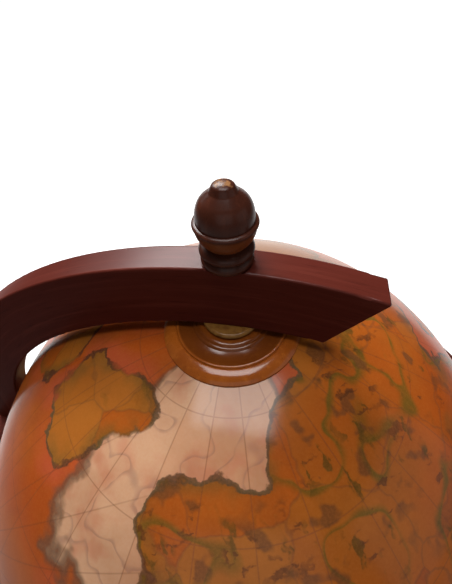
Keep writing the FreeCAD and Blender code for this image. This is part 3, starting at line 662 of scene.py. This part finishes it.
def polar_paper(way, latitude, longitude, colour):
    """Paler pinkish gores by the pole, on its -Y side, with an inked edge that breaks off."""
    ragged_latitude = latitude + (noise(way, scale=6.0, detail=3.0) - 0.5) * 0.5
    tear = (noise(way, scale=9.0, detail=4.0) - 0.5) * 0.16
    ragged_side = calc("COSINE", longitude - PAPER_SIDE) + tear
    paper = step(ragged_latitude, *PAPER_LATITUDE) * step(ragged_side, *PAPER_SPREAD)
    gore = calc("FLOOR", longitude / GORE)
    tint = mix(chance(gore + GORE_DRAW), *PAPER_TONES)
    tint = tinted(tint, patches(way, scale=9.0, detail=3.0, edge=(0.50, 0.66)), PAPER_BLUSH)
    tint = tinted(tint, brush_strokes(way, scale=10.0, width=0.022), PAPER_STROKE)
    colour = mix(step(paper, 0.4, 0.55) * PAPER_COVER, colour, tint)
    rim = line(calc("ABSOLUTE", paper - PAPER_RIM), half_width=0.16, soft=0.1)
    rim = rim * patches(way, scale=7.0, detail=2.0, edge=(0.36, 0.5))
    return tinted(colour, rim, PAPER_EDGE)


def coast_strokes(way, height, colour):
    """Inked coasts, thick and thin, that break off in places."""
    press = noise(way, scale=8.0, detail=3.0)
    thin, swell = COAST_LINE
    half_width = thin + swell * press * press
    coast = 1.0 - step(calc("ABSOLUTE", height) / half_width, 0.6, 1.3)
    coast = coast * patches(way, scale=5.0, detail=2.0, edge=(0.30, 0.42))
    ink = mix(patches(way, scale=4.0, detail=2.0, edge=(0.4, 0.6)), *COAST_INKS)
    return mix(coast * COAST_COVER, colour, ink)


def wild_country(way, land, colour):
    """Mossy strokes, blots and dashes over parts of the land, more of them towards +X."""
    wild = step(noise(way, scale=2.4) + 0.20 * split(way)[0], 0.47, 0.55) * land
    colour = tinted(colour, brush_strokes(way, scale=5.5, width=0.028) * wild, MOSS_STROKE)
    colour = tinted(colour, patches(way, scale=14.0, detail=2.0, edge=(0.58, 0.66)) * wild, BLOT_INK)
    for along, scale, ink in DASHES:
        colour = tinted(colour, brush_dashes(way, along, scale) * wild, ink)
    return colour


def aged_with_far_sheen(way, fibre, colour):
    """Print with a painted grey sheen near the pole on the +Y side, browned in clouds and showing its
    paper.
    """
    _, y, z = split(way)
    # Painted grey sheen on the far rim, near the pole on the +Y side
    far_rim_sheen = step(y, 0.1, 0.45) * step(z, 0.68, 0.85)
    colour = tinted(colour, far_rim_sheen, FAR_RIM_SHEEN)
    clouds = patches(way, scale=5.0, detail=5.0, edge=(0.3, 0.75), roughness=0.62)
    colour = tinted(colour, clouds, AGE_TINT)
    return tinted(colour, step(fibre, 0.35, 0.75), FIBRE_TINT)


def map_print(tree):
    """Whole printed map, and the plain lining inside the shell."""
    spoke = vector("SUBTRACT", place(tree), GLOBE_CENTRE)
    way = vector("NORMALIZE", spoke)
    x, y, z = split(way)
    latitude = calc("ARCSINE", z)
    longitude = bearing(x, y)
    to_meridian = repeat_distance(longitude, GORE) * hypotenuse(x, y)
    to_grid = calc("MINIMUM", to_meridian, repeat_distance(latitude, GORE))
    fibre = noise(way, scale=160.0, detail=3.0, roughness=0.6)
    height = land_height(way)
    land = step(height, -COAST_BLUR, COAST_BLUR)

    colour = polar_paper(way, latitude, longitude, sea_colours(way, height))
    colour = mix(land, colour, land_colours(way, height))
    colour = chart_lines(way, to_grid, colour)
    colour = coast_strokes(way, height, colour)
    colour = wild_country(way, land, colour)
    colour = aged_with_far_sheen(way, fibre, colour)

    deep, shallow = SHELL_PRINT
    inside = 1.0 - step(vector("LENGTH", spoke), GLOBE_RADIUS - deep, GLOBE_RADIUS - shallow)
    lining = mix(patches(way, scale=9.0, detail=5.0, edge=(0.3, 0.7), roughness=0.6), *LINING_TONES)
    relief = noise(way, scale=60.0) * 0.5 - line(to_meridian, *SEAM_LINE) * 0.6
    return {
        "Base Color": mix(inside, colour, lining),
        "Roughness": 0.42 + 0.2 * fibre,
        "Normal": bump(relief, distance=0.10 * MM, strength=0.35),
    }


# Paper, plastic, metal, felt and rubber

# Printed band: places across it from its inner edge
BAND_WIDTH = 30 * MM
BAND_RULES = (3.0 * MM, 8.0 * MM, 17.0 * MM, 27.0 * MM)
TICK_START = 8.0 * MM
TICK_ENDS = {1: 10.5 * MM, 5: 13.0 * MM, 10: 17.0 * MM, 30: 27.0 * MM}      # by pitch in degrees
CHEQUERS = (3.1 * MM, 8.0 * MM)
CHEQUERS_ROUND = 72
RULE = (0.22 * MM, 0.12 * MM)
PRINT_SOFT = 0.1 * MM
BAND_PAPER = ((0.50, 0.31, 0.12), (0.64, 0.44, 0.20))
BAND_FIBRE = Tint(0.3, (0.38, 0.20, 0.07))
BAND_INK = Tint(0.85, (0.045, 0.017, 0.009))

# Fresh or bright tone, then the worn one
BUSH_TONES = ((0.18, 0.08, 0.018), (0.11, 0.044, 0.010))
BRASS = ((0.72, 0.46, 0.16), (0.34, 0.19, 0.06))
STEEL = ((0.56, 0.55, 0.53), (0.33, 0.32, 0.31))
BLACK_RUBBER = ((0.012, 0.012, 0.012), (0.03, 0.03, 0.029))
WHEEL_RUBBER = ((0.02, 0.016, 0.013), (0.06, 0.05, 0.043))
FELT_TONES = ((0.010, 0.034, 0.014), (0.035, 0.10, 0.045))
FELT_NAP = Tint(0.4, (0.05, 0.12, 0.06))
POLISHING_STRETCH = (1.0, 1.0, 14.0)


def on_band(across, low, high):
    return between(across, (low - PRINT_SOFT, low), (high, high + PRINT_SOFT))


def band_ink(x, y):
    """Degree scale: ruled lines, ticks and a chequered border."""
    radius = hypotenuse(x, y)
    angle = bearing(x, y)
    across = radius - (BAND_OUTER - BAND_WIDTH)
    masks = [line(calc("ABSOLUTE", across - rule), *RULE) for rule in BAND_RULES]
    for degrees, end in TICK_ENDS.items():
        tick = line(repeat_distance(angle, math.radians(degrees)) * radius, *RULE)
        masks.append(tick * on_band(across, TICK_START, end))
    count = calc("FLOOR", angle / (math.tau / CHEQUERS_ROUND) + CHEQUERS_ROUND)
    masks.append(calc("MODULO", count, 2.0) * on_band(across, *CHEQUERS))
    return either(masks)


def band_print(tree):
    """Aged paper under the printed scale of the table."""
    spot = place(tree)
    x, y, _ = split(spot)
    paper = mix(patches(spot, scale=30.0, detail=5.0, edge=(0.3, 0.75), roughness=0.6), *BAND_PAPER)
    paper = tinted(paper, patches(spot, scale=240.0, detail=3.0, edge=(0.4, 0.8)), BAND_FIBRE)
    return {
        "Base Color": tinted(paper, band_ink(x, y), BAND_INK),
        "Roughness": 0.42 + 0.1 * noise(spot, scale=200.0),
        "Normal": bump(noise(spot, scale=700.0, detail=3.0), distance=0.05 * MM, strength=0.4),
    }


def bush_paint(tree):
    """Moulded plastic, browned and worn in small spots."""
    worn = noise(place(tree), scale=300.0, detail=4.0, roughness=0.6)
    return {
        "Base Color": mix(step(worn, 0.4, 0.75), *BUSH_TONES),
        "Roughness": 0.22 + 0.2 * worn,
        "Normal": bump(worn, distance=0.05 * MM, strength=0.4),
    }


def metal_paint(tones, scale):
    """Metal with tarnish in soft patches and fine polishing marks."""
    def paint(tree):
        spot = place(tree)
        tarnish = noise(spot, scale=scale, detail=4.0, roughness=0.62)
        marks = noise(vector("MULTIPLY", spot, POLISHING_STRETCH), scale=420.0)
        return {
            "Base Color": mix(step(tarnish, 0.4, 0.75), *tones),
            "Roughness": 0.2 + 0.22 * tarnish + 0.08 * marks,
            "Normal": bump(marks, distance=0.03 * MM, strength=0.35),
        }
    return paint


def felt_paint(tree):
    """Matted fibres with a nap that lies lighter in places."""
    spot = place(tree)
    lint = noise(spot, scale=900.0, detail=4.0, roughness=0.7)
    nap = noise(spot, scale=90.0, detail=3.0)
    colour = mix(lint, *FELT_TONES)
    return {
        "Base Color": tinted(colour, step(nap, 0.4, 0.7), FELT_NAP),
        "Roughness": 0.85 + 0.1 * nap,
        "Normal": bump(lint, distance=0.5 * MM, strength=0.8),
    }


def rubber_paint(tones):
    """Matt rubber with greyer scuffs."""
    def paint(tree):
        spot = place(tree)
        scuff = noise(spot, scale=160.0, detail=5.0, roughness=0.65)
        return {
            "Base Color": mix(step(scuff, 0.45, 0.75), *tones),
            "Roughness": 0.5 + 0.25 * scuff,
            "Normal": bump(noise(spot, scale=1200.0), distance=0.06 * MM, strength=0.5),
        }
    return paint


def make_materials():
    """One material per slot of the record, and one more for each node with wood of its own."""
    shelf_boards = board_wood(STAND_WOOD, SHELF_BOARD, SHELF_JOINT)
    bar_boards = board_wood(BAR_WOOD, BAR_BOARD, BAR_JOINT)
    return {
        "mahogany": surface("turned_mahogany", turned_wood(STAND_WOOD), LACQUER),
        "meridian_arm": surface("arm_mahogany", arm_wood, LACQUER),
        "table_ring": surface("ring_mahogany", ring_wood, LACQUER),
        "lower_shelf": surface("shelf_mahogany", shelf_boards, LACQUER),
        "acorn_finial": surface("finial_mahogany", finial_wood, FINIAL_GLOSS),
        "caramel_wood": surface("caramel_wood", boss_wood, POLISH),
        "map_shell": surface("map_shell", map_print, VARNISH),
        "bar_wood": surface("bar_wood", bar_boards, SATIN),
        "parchment": surface("parchment", band_print, SATIN),
        "cream_bush": surface("cream_bush", bush_paint, SATIN),
        "felt": surface("felt", felt_paint, NAPPED),
        "brass": surface("brass", metal_paint(BRASS, scale=60.0), METAL),
        "steel": surface("steel", metal_paint(STEEL, scale=90.0), METAL),
        "black_rubber": surface("black_rubber", rubber_paint(BLACK_RUBBER)),
        "wheel_tread": surface("wheel_tread", rubber_paint(WHEEL_RUBBER)),
    }


def dress_nodes(materials):
    for part in frame["record"]["subparts"]:
        node = NODES[part["node"]]
        material = materials.get(part["node"], materials[part["material_slot"]])
        node.data.materials.clear()
        node.data.materials.append(material)


# Pieces in mesh code

SHARP_EDGE = math.radians(40)


def finish_piece(work, name, material):
    """Object from a finished mesh, smooth except at its sharp edges."""
    bmesh.ops.recalc_face_normals(work, faces=work.faces)
    mesh = bpy.data.meshes.new(name)
    work.to_mesh(mesh)
    work.free()
    mesh.shade_smooth()
    mesh.set_sharp_from_angle(angle=SHARP_EDGE)
    mesh.materials.append(material)
    piece = bpy.data.objects.new(name, mesh)
    bpy.context.scene.collection.objects.link(piece)
    return piece


# Finial, turned closer to the photograph than the solid that it stands for

BOLT_BORE = 4.1 * MM
BORE_DEPTH = 0.46           # share of the height
TURNING_STEPS = 96
BULGE_STEPS = 8
WELD = 0.001 * MM

# Shares of the radius and the height. A pair of points is a bulge through the first to the second.
FINIAL_PROFILE = (
    (0.77, 0.0), ((0.855, 0.062), (0.775, 0.124)), (0.75, 0.132), (0.775, 0.14),
    ((0.88, 0.202), (0.775, 0.262)), (0.66, 0.28), (0.66, 0.287),
    ((0.87, 0.388), (0.955, 0.518)), ((1.0, 0.542), (0.955, 0.566)), (0.885, 0.57),
    ((0.84, 0.72), (0.675, 0.828)), ((0.52, 0.877), (0.42, 0.907)),
    ((0.37, 0.94), (0.325, 0.97)), ((0.2, 0.993), (0.0, 1.0)),
)


def bulge(start, middle, end):
    """Points of the parabola from start through middle to end, without its start."""
    pull = [2 * m - (s + e) / 2 for s, m, e in zip(start, middle, end)]
    points = []
    for index in range(1, BULGE_STEPS + 1):
        t = index / BULGE_STEPS
        weights = ((1 - t) ** 2, 2 * t * (1 - t), t * t)
        points.append(tuple(sum(w * c for w, c in zip(weights, row)) for row in zip(start, pull, end)))
    return points


def profile_points(profile):
    points = []
    for entry in profile:
        if isinstance(entry[0], tuple):
            points += bulge(points[-1], *entry)
        else:
            points.append(entry)
    return points


def turn_finial(material):
    """Lathe work on the arm, with the bore that takes the pole's bolt."""
    height = FINIAL_TOP - FINIAL_FOOT
    bore = BOLT_BORE / FINIAL_RADIUS
    outline = [(0.0, BORE_DEPTH), (bore, BORE_DEPTH), (bore, 0.0), *profile_points(FINIAL_PROFILE)]
    work = bmesh.new()
    dots = [work.verts.new((r * FINIAL_RADIUS, 0.0, FINIAL_FOOT + z * height)) for r, z in outline]
    edges = [work.edges.new(pair) for pair in zip(dots, dots[1:])]
    turn = {"cent": (0, 0, 0), "axis": (0, 0, 1), "angle": math.tau, "steps": TURNING_STEPS}
    bmesh.ops.spin(work, geom=dots + edges, **turn)
    bmesh.ops.remove_doubles(work, verts=work.verts, dist=WELD)
    piece = finish_piece(work, "finial_turning", material)
    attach(piece, "lid_arm")
    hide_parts("acorn_finial")


# Felt: a mat on the bottle floor, and dots on the rim that the lid meets

FELT_RINGS = 24
FELT_SECTORS = 96
DOT_RINGS = 8
DOT_SECTORS = 32
DOT_RADIUS = 5.0 * MM

# How much thinner the rim is than the middle, and how late the felt thins towards it
MAT_EDGE = (0.4, 90)
DOT_CROWN = (0.6, 3)

# Shares of the thickness, and the unevenness per metre
FELT_HEIGHT = 0.86
DENT_DEPTH = 0.08
DENT_SCALE = 28
NAP_DEPTH = 0.05
NAP_SCALE = 400
NAP_LAYER = 0.01            # another layer of the noise than the dents have


def felt_rise(x, y):
    """Share of the felt's thickness at one place: dents where bottles stood, and its nap."""
    dents = mathutils.noise.noise(Vector((x, y, 0.0)) * DENT_SCALE)
    nap = mathutils.noise.noise(Vector((x, y, NAP_LAYER)) * NAP_SCALE)
    return FELT_HEIGHT + DENT_DEPTH * dents + NAP_DEPTH * nap


def felt_ring(work, centre, radius, thickness, sectors):
    """Ring of points at a radius, on the felt or, with no thickness, under its edge."""
    ring = []
    for index in range(sectors):
        angle = math.tau * index / sectors
        x = centre[0] + radius * math.cos(angle)
        y = centre[1] + radius * math.sin(angle)
        ring.append(work.verts.new((x, y, centre[2] + thickness * felt_rise(x, y))))
    return ring


def felt_disc(work, centre, radius, thickness, edge, ring_count, sectors):
    """Closed disc of felt whose underside has the given centre."""
    x, y, low = centre
    drop, lateness = edge
    middle = work.verts.new((x, y, low + thickness * felt_rise(x, y)))
    rings = []
    for index in range(1, ring_count + 1):
        share = math.sin(math.pi / 2 * index / ring_count)
        height = thickness * (1.0 - drop * share ** lateness)
        rings.append(felt_ring(work, centre, share * radius, height, sectors))
    rings.append(felt_ring(work, centre, radius, 0.0, sectors))
    for index in range(sectors):
        work.faces.new((middle, rings[0][index - 1], rings[0][index]))
        for inner, outer in zip(rings, rings[1:]):
            work.faces.new((inner[index - 1], outer[index - 1], outer[index], inner[index]))
    work.faces.new(rings[-1])


def lay_felt(material):
    low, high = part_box("bottle_mat")
    radius = high[0]
    work = bmesh.new()
    felt_disc(work, (0.0, 0.0, low[2]), radius, high[2] - low[2], MAT_EDGE, FELT_RINGS, FELT_SECTORS)
    piece = finish_piece(work, "felt_mat", material)
    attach(piece, "stand")
    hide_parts("bottle_mat")


def lay_dots(material):
    """Four crowned pads on the diagonals of the rim."""
    low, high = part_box("rim_dots")
    thickness = high[2] - low[2]
    spread = high[0] - DOT_RADIUS
    work = bmesh.new()
    for x in (-spread, spread):
        for y in (-spread, spread):
            felt_disc(work, (x, y, low[2]), DOT_RADIUS, thickness, DOT_CROWN, DOT_RINGS, DOT_SECTORS)
    piece = finish_piece(work, "felt_dots", material)
    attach(piece, "stand")
    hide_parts("rim_dots")


# Studio

WORLD_LIGHT = 0.08
WHITE = (1.0, 1.0, 1.0)
STAND_MIDDLE = (0, 0, 0.5)

# Place, aim, size and power in watts of each lamp
SOFTBOXES = {
    "back_left": ((-0.98, 1.6, 2.5), POLE, (1.35, 0.9), 112.0),
    "left_wash": ((-1.65, 1.45, 1.85), POLE, (1.2, 0.9), 8.0),
    "overhead": ((0.0, 0.0, 2.55), POLE, (1.1, 0.8), 27.5),
    "front_fill": ((0.6, -3.4, 2.0), STAND_MIDDLE, (4.0, 3.0), 22.0),
    "right_fill": ((3.4, -0.6, 1.4), STAND_MIDDLE, (3.0, 2.4), 10.0),
}

# Floor: its tones, the painted shade round the stand where its glow to the eye is dimmer, and the wedge
# behind the globe that glows for everything but the eye
FLOOR_SIZE = 40.0
FLOOR_TONES = ((0.46, 0.46, 0.46), (0.49, 0.49, 0.49))
FLOOR_SHADE = (0.66, 0.66, 0.66)
SHADE_REACH = (0.5, 2.2)
GLOW_LEFT = (-1.6, -0.8)
GLOW_LEFT_SLANT = 0.7
GLOW_RIGHT = (0.7, 1.3)
GLOW_RIGHT_SLANT = -0.3
GLOW_NEAR = (-0.4, 0.1)
GLOW_FAR = (0.6, 2.5)
GLOW_STRENGTH = 0.9


def softbox(name, at, aim, size, power):
    light = bpy.data.lights.new(name, "AREA")
    light.shape = "RECTANGLE"
    light.size, light.size_y = size
    light.energy = power
    lamp = bpy.data.objects.new(name, light)
    lamp.location = at
    lamp.rotation_euler = (Vector(aim) - Vector(at)).to_track_quat("-Z", "Y").to_euler()
    bpy.context.scene.collection.objects.link(lamp)


def seen_directly(tree):
    """1 for what the eye sees straight on, 0 for what a surface reflects or is lit by."""
    return Field(tree.nodes.new("ShaderNodeLightPath").outputs["Is Camera Ray"])


def floor_paint(tree):
    """Pale floor that glows: white to the eye, dimmer near the stand as painted shade round it; for
    reflections and light only a wedge behind the globe glows.
    """
    spot = place(tree)
    grainy = noise(spot, scale=3.0, detail=3.0)
    x, back, _ = split(spot)
    # Glowing wedge behind the globe, painted light that the globe's gloss mirrors
    left = step(x + GLOW_LEFT_SLANT * back, *GLOW_LEFT)
    right = 1.0 - step(x + GLOW_RIGHT_SLANT * back, *GLOW_RIGHT)
    growth = GLOW_STRENGTH + GLOW_STRENGTH * step(back, *GLOW_FAR)
    glow = step(back, *GLOW_NEAR) * left * right * growth
    # Painted shade round the stand: to the eye the floor glows dimmer near it
    seen = mix(step(vector("LENGTH", spot), *SHADE_REACH), FLOOR_SHADE, WHITE)
    return {
        "Base Color": mix(grainy, *FLOOR_TONES),
        "Roughness": 0.6 + 0.1 * grainy,
        "Emission Color": mix(seen_directly(tree), join(glow, glow, glow), seen),
    }


def lay_floor():
    bpy.ops.mesh.primitive_plane_add(size=FLOOR_SIZE, location=(0, 0, 0))
    floor = bpy.context.object
    floor.name = "floor"
    floor.data.materials.append(surface("floor", floor_paint, {"Emission Strength": 1.0}))


def light_world():
    """White to the eye, and dim to what it lights."""
    world = bpy.data.worlds.new("studio")
    world.use_nodes = True
    strength = WORLD_LIGHT + (1.0 - WORLD_LIGHT) * seen_directly(world.node_tree)
    feed(world.node_tree.nodes["Background"], {"Color": WHITE, "Strength": strength})
    bpy.context.scene.world = world


def studio():
    lay_floor()
    light_world()
    for name, setting in SOFTBOXES.items():
        softbox(name, *setting)
    bpy.context.scene.view_settings.view_transform = "Standard"


# Camera: measured from the picture, in units of the globe's radius from its centre

EYE = (0.1354, -0.6061, 1.8036)
LOOK = (-0.1567, 0.6558, -0.7385)
UPWARD = (-0.0988, 0.7336, 0.6723)
LENS = 22.65                # millimetres, as is the sensor
SENSOR_WIDTH = 36.0
NEAREST = 0.01


def camera():
    data = bpy.data.cameras.new("camera")
    data.lens = LENS
    data.sensor_width = SENSOR_WIDTH
    data.clip_start = NEAREST
    back = -Vector(LOOK).normalized()
    right = Vector(UPWARD).cross(back).normalized()
    up = back.cross(right)
    turn = Matrix((right, up, back)).transposed().to_4x4()
    spot = Vector(GLOBE_CENTRE) + GLOBE_RADIUS * Vector(EYE)
    viewer = bpy.data.objects.new("camera", data)
    viewer.matrix_world = Matrix.Translation(spot) @ turn
    bpy.context.scene.collection.objects.link(viewer)
    bpy.context.scene.camera = viewer


looks = make_materials()
dress_nodes(looks)
turn_finial(looks["acorn_finial"])
lay_felt(looks["felt"])
lay_dots(looks["felt"])
studio()
camera()
